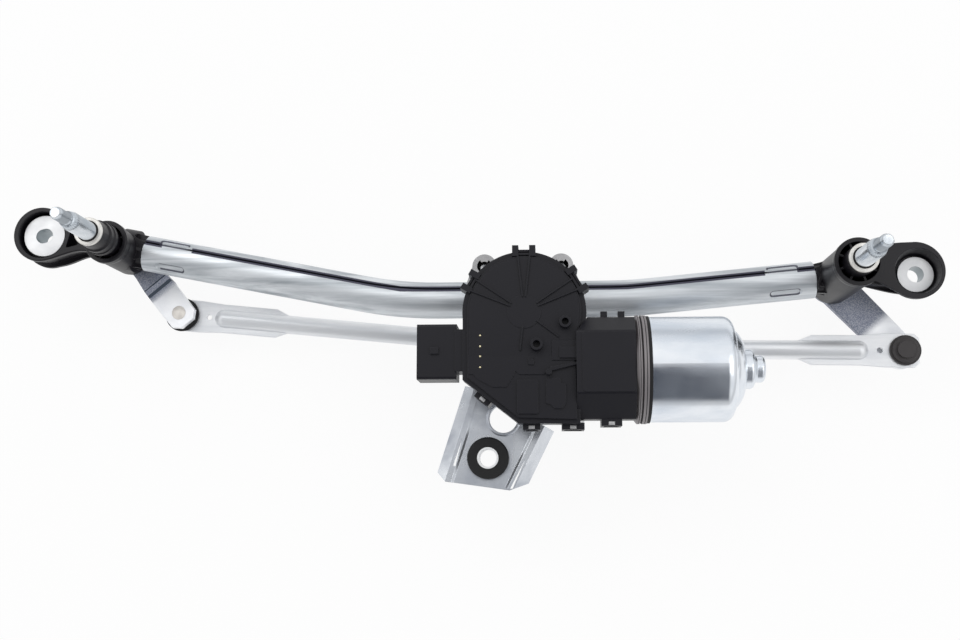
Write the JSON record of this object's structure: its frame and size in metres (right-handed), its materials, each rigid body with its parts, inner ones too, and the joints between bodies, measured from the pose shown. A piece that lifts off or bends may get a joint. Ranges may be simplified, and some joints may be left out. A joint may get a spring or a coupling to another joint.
{
  "type": "wiper linkage",
  "caption": "Windscreen wiper linkage: tube frame with two pivot housings, geared motor on a pressed centre bracket, and links from its crank to the spindle cranks.",
  "frame": {"origin": "axis of the centre fixing bore, at the lower end of its steel sleeve", "axes": "+X along the linkage towards the motor can side, +Y up the windscreen from the centre fixing to the tube, +Z along the wiper spindles towards the wiper arms"},
  "size_m": [0.612, 0.1891, 0.1653],
  "materials": {
    "zinc_tube": "zinc plated, satin",
    "zinc_plate": "zinc plated, satin",
    "zinc_crank": "zinc plated, satin",
    "zinc_link": "zinc plated, satin",
    "weld_metal": "as welded",
    "black_moulding": "fine grained, satin black",
    "black_cover": "fine grained, satin black",
    "black_rubber": "matt",
    "zinc_sleeve": "bright zinc plated",
    "bush_metal": "sintered, satin",
    "bronze": "sintered bronze",
    "zinc_spindle": "bright zinc plated",
    "ground_steel": "ground",
    "zinc_hardware": "zinc plated",
    "stud_steel": "phosphated and turned",
    "socket_plastic": "satin black",
    "cast_alloy": "as die cast",
    "can_steel": "zinc plated deep drawn steel",
    "gear_plastic": "natural acetal",
    "core_steel": "laminated",
    "copper": "copper",
    "contact_brass": "tin plated brass",
    "ferrite": "sintered ferrite",
    "card_plastic": "moulded phenolic",
    "carbon": "carbon"
  },
  "bodies": {
    "frame": {"brush_card": "card_plastic", "can_seal_ring": "black_rubber", "centre_bracket": "zinc_plate", "centre_grommet": "black_rubber", "centre_sleeve": "zinc_sleeve", "frame_tube": "zinc_tube", "front_brush": "carbon", "front_weld_bead": "weld_metal", "gear_cover": "black_cover", "gear_housing": "cast_alloy", "left_ear_grommet": "black_rubber", "left_ear_sleeve": "zinc_sleeve", "left_ear_washer": "zinc_sleeve", "left_lower_bush": "bush_metal", "left_lug_screw": "zinc_hardware", "left_pivot_housing": "black_moulding", "left_upper_bush": "bush_metal", "lower_lug_screw": "zinc_hardware", "motor_can": "can_steel", "output_bush": "bronze", "plug_contact_1": "contact_brass", "plug_contact_2": "contact_brass", "plug_contact_3": "contact_brass", "plug_contact_4": "contact_brass", "rear_bearing": "bronze", "rear_brush": "carbon", "rear_weld_bead": "weld_metal", "right_ear_grommet": "black_rubber", "right_ear_sleeve": "zinc_sleeve", "right_ear_washer": "zinc_sleeve", "right_lower_bush": "bush_metal", "right_lug_screw": "zinc_hardware", "right_pivot_housing": "black_moulding", "right_upper_bush": "bush_metal", "ring_magnet": "ferrite"},
    "motor_output": {"output_shaft": "ground_steel", "worm_wheel": "gear_plastic", "motor_crank": "zinc_crank", "crank_nut": "zinc_hardware"},
    "armature": {"armature_shaft": "ground_steel", "armature_core": "core_steel", "commutator": "copper"},
    "left_spindle": {"left_spindle": "zinc_spindle", "left_crank": "zinc_crank", "left_ball_stud": "stud_steel", "left_thrust_washer": "zinc_hardware", "left_spindle_seal": "black_rubber"},
    "right_spindle": {"right_spindle": "zinc_spindle", "right_crank": "zinc_crank", "right_ball_stud": "stud_steel", "right_thrust_washer": "zinc_hardware", "right_spindle_seal": "black_rubber"},
    "left_link": {"left_link": "zinc_link", "left_link_outer_socket": "socket_plastic", "left_link_inner_socket": "socket_plastic", "lower_crank_stud": "stud_steel"},
    "right_link": {"right_link": "zinc_link", "right_link_outer_socket": "socket_plastic", "right_link_inner_socket": "socket_plastic", "upper_crank_stud": "stud_steel"}
  },
  "joints": [
    {"name": "motor_output_turn", "type": "hinge", "parent": "frame", "child": "motor_output", "pos_m": [0.0243, 0.0851, 0], "axis": [0, 0, 1], "range_deg": [-180, 0]},
    {"name": "left_spindle_turn", "type": "hinge", "parent": "frame", "child": "left_spindle", "pos_m": [-0.2483, 0.14, 0], "axis": [0, 0, 1], "range_deg": [-94.25, 0]},
    {"name": "right_spindle_turn", "type": "hinge", "parent": "frame", "child": "right_spindle", "pos_m": [0.2277, 0.117, 0], "axis": [0, 0, 1], "range_deg": [-71.77, 0]},
    {"name": "left_link_turn", "type": "hinge", "parent": "left_spindle", "child": "left_link", "pos_m": [-0.2164, 0.1017, -0.039], "axis": [0, 0, 1], "range_deg": [0, 96.03]},
    {"name": "right_link_turn", "type": "hinge", "parent": "right_spindle", "child": "right_link", "pos_m": [0.2709, 0.07005, -0.0186], "axis": [0, 0, 1], "range_deg": [0, 64.48]},
    {"name": "armature_turn", "type": "hinge", "parent": "frame", "child": "armature", "pos_m": [0.06, 0.0534, 0.0295], "axis": [1, 0, 0], "continuous": true}
  ],
  "couplings": [
    {"joint": "left_spindle_turn", "follows": "motor_output_turn", "ratio": 0.52363},
    {"joint": "right_spindle_turn", "follows": "motor_output_turn", "ratio": 0.39871},
    {"joint": "left_link_turn", "follows": "motor_output_turn", "ratio": -0.53348},
    {"joint": "right_link_turn", "follows": "motor_output_turn", "ratio": -0.35823}
  ]
}
